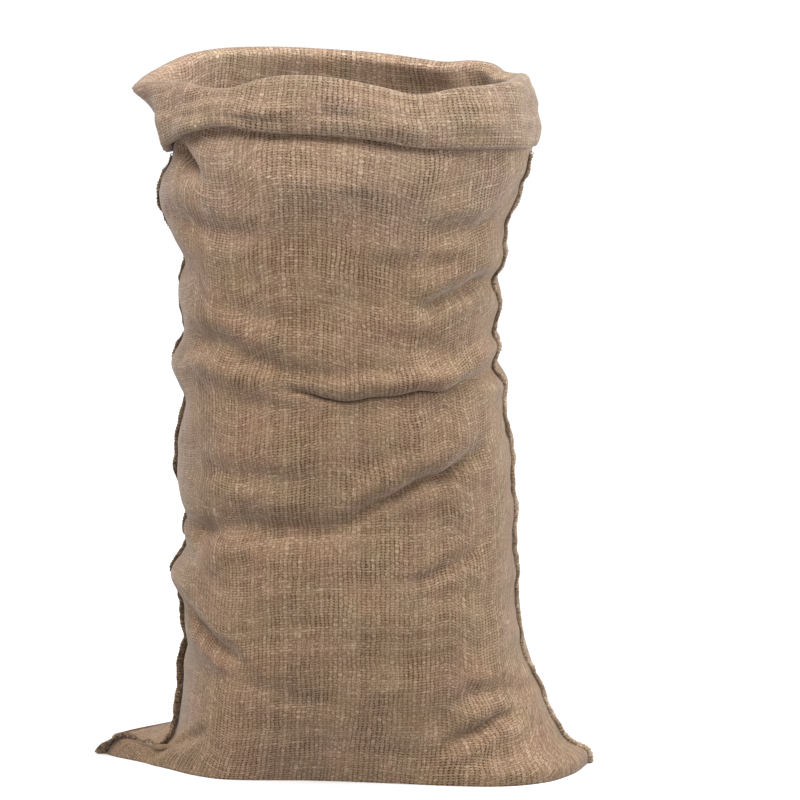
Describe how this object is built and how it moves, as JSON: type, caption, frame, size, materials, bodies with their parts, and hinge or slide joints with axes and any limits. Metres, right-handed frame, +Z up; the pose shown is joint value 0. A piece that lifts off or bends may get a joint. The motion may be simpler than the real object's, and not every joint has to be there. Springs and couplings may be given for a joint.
{
  "type": "hessian sack",
  "caption": "Open hessian sack standing on its flat folded bottom, with two corner ears, slack folds and the mouth turned down into a cuff; holds loose dry goods",
  "frame": {"origin": "middle of the outline on the floor, at the underside of the flat bottom", "axes": "+Z up along the sack, +X from the left ear to the right ear, the front faces -Y"},
  "size_m": [0.5443, 0.3621, 0.7688],
  "materials": {
    "hessian": "open plain weave of natural jute yarn, matt, with slubs and loose fibres",
    "overlock": "cut cloth edges wrapped in brown overlock thread"
  },
  "bodies": {
    "root": {"sack_cloth": "hessian", "seam_left": "overlock", "seam_right": "overlock"}
  },
  "joints": []
}
